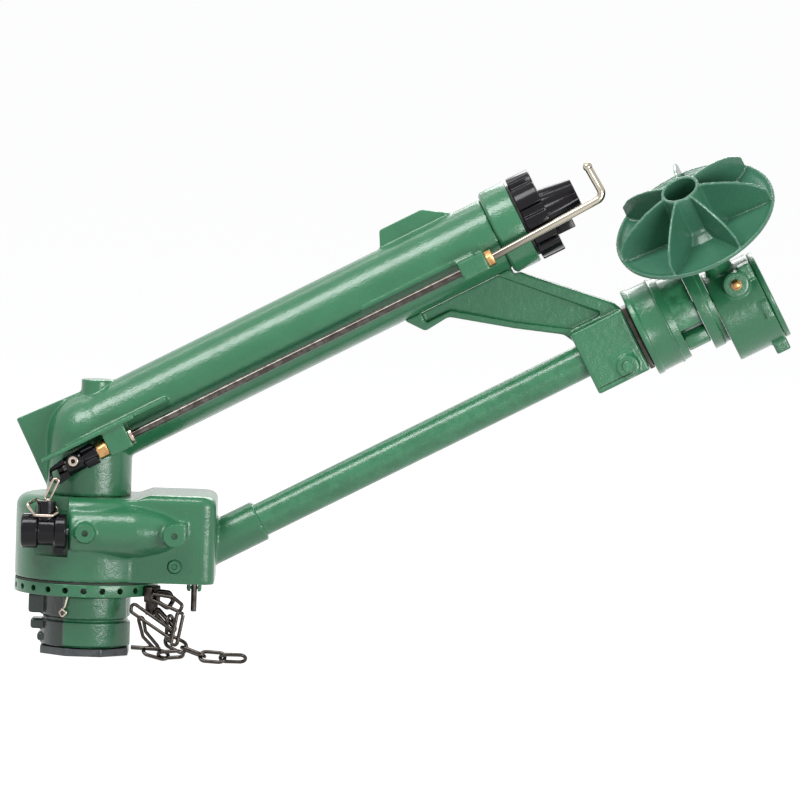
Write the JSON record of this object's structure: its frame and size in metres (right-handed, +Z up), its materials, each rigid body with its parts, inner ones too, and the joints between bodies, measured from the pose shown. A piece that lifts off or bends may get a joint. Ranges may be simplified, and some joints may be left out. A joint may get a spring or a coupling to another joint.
{
  "type": "impulse sprinkler",
  "caption": "Big-gun sprinkler: raised barrel on a geared swivel base, turned by a jet turbine through a drive tube, with a jet-breaker rod and sector stops on a chain.",
  "frame": {"origin": "on the swivel axis, in the plane of the inlet flange's underside", "axes": "+Z up along the swivel axis, the barrel rises towards +X, the breaker rod and the turbine's lean are on the -Y side"},
  "size_m": [0.7719, 0.1938, 0.5193],
  "materials": {
    "green_enamel": "gloss enamel over a sand-cast surface",
    "black_plastic": "gloss",
    "nickel_plate": "plated, slightly worn",
    "brass": "machined",
    "grey_steel": "dull machined",
    "dark_steel": "dark, worn bright on the edges",
    "bronze": "machined",
    "rubber": "matte"
  },
  "bodies": {
    "base": {"inlet_flange": "grey_steel", "base_sleeve": "green_enamel", "sector_ring": "green_enamel", "riser_tube": "bronze", "thrust_washer": "bronze", "worm_wheel": "bronze", "stop_block": "dark_steel", "sector_stop_upper": "dark_steel", "sector_stop_lower": "dark_steel", "chain_link_1": "dark_steel", "chain_link_2": "dark_steel", "chain_link_3": "dark_steel", "chain_link_4": "dark_steel", "chain_link_5": "dark_steel"},
    "head": {"gear_housing": "green_enamel", "bottom_cover": "green_enamel", "housing_bush": "bronze", "round_plug": "green_enamel", "barrel_casting": "green_enamel", "riser_seal": "rubber", "barrel_ring": "green_enamel", "nozzle_gasket": "rubber", "nozzle_nut": "black_plastic", "nozzle": "black_plastic", "bracket_arm": "green_enamel", "clamp_bolt": "grey_steel", "spacer_plate": "dark_steel", "head_flange": "green_enamel", "head_bolt_front": "green_enamel", "head_bolt_rear": "green_enamel", "case_plate": "green_enamel", "gear_case": "green_enamel", "case_cap": "green_enamel", "grease_screw": "brass", "neck_bush": "bronze", "drive_tube": "green_enamel", "lower_tube_bearing": "bronze", "upper_tube_bearing": "bronze", "rod_nut_lower": "brass", "rod_nut_upper": "brass", "rod_collar": "nickel_plate", "rocker_pin": "grey_steel"},
    "turbine": {"turbine_wheel": "green_enamel", "turbine_shaft": "grey_steel", "wheel_nut": "grey_steel"},
    "drive_shaft": {"drive_shaft": "grey_steel"},
    "lower_cross": {"lower_cross_shaft": "grey_steel"},
    "upper_cross": {"upper_cross_shaft": "grey_steel"},
    "worm": {"worm_shaft": "grey_steel"},
    "rocker": {"rocker_drum": "black_plastic", "rocker_bail": "nickel_plate"},
    "link": {"rocker_link": "nickel_plate"},
    "rod": {"breaker_rod": "nickel_plate", "rod_lever": "black_plastic", "wing_knob": "black_plastic", "lever_eyelet": "nickel_plate"},
    "trip": {"trip_lever": "dark_steel"}
  },
  "joints": [
    {"name": "head_swivel", "type": "hinge", "parent": "base", "child": "head", "pos_m": [0, 0, 0.1], "axis": [0, 0, 1], "continuous": true},
    {"name": "worm_spin", "type": "hinge", "parent": "head", "child": "worm", "pos_m": [0, -0.058, 0.1274], "axis": [1, 0, 0], "continuous": true},
    {"name": "upper_cross_spin", "type": "hinge", "parent": "head", "child": "upper_cross", "pos_m": [0.089, 0, 0.1274], "axis": [0, 1, 0], "continuous": true},
    {"name": "lower_cross_spin", "type": "hinge", "parent": "head", "child": "lower_cross", "pos_m": [0.089, 0, 0.0941], "axis": [0, 1, 0], "continuous": true},
    {"name": "drive_shaft_spin", "type": "hinge", "parent": "head", "child": "drive_shaft", "pos_m": [0.089, 0, 0.0941], "axis": [0.8821, 0, 0.471], "continuous": true},
    {"name": "turbine_spin", "type": "hinge", "parent": "head", "child": "turbine", "pos_m": [0.63309, 0, 0.38462], "axis": [-0.4016, -0.5225, 0.7521], "continuous": true},
    {"name": "rocker_tilt", "type": "hinge", "parent": "head", "child": "rocker", "pos_m": [-0.0395, -0.07, 0.1274], "axis": [1, 0, 0], "range_deg": [-7, 7]},
    {"name": "link_tilt", "type": "hinge", "parent": "rocker", "child": "link", "pos_m": [-0.0395, -0.0575, 0.1572], "axis": [1, 0, 0], "range_deg": [-15, 15]},
    {"name": "rod_turn", "type": "hinge", "parent": "head", "child": "rod", "pos_m": [0.00777, -0.053, 0.20544], "axis": [0.8821, 0, 0.471], "range_deg": [-17, 17]},
    {"name": "trip_tilt", "type": "hinge", "parent": "head", "child": "trip", "pos_m": [0.1085, -0.019, 0.0706], "axis": [1, 0, 0], "range_deg": [-12, 12]}
  ],
  "couplings": [
    {"joint": "worm_spin", "follows": "head_swivel", "ratio": 36},
    {"joint": "upper_cross_spin", "follows": "head_swivel", "ratio": 36},
    {"joint": "lower_cross_spin", "follows": "head_swivel", "ratio": -72},
    {"joint": "drive_shaft_spin", "follows": "head_swivel", "ratio": -72},
    {"joint": "turbine_spin", "follows": "head_swivel", "ratio": -72},
    {"joint": "link_tilt", "follows": "rocker_tilt", "ratio": -2},
    {"joint": "rod_turn", "follows": "rocker_tilt", "ratio": -2.2}
  ]
}
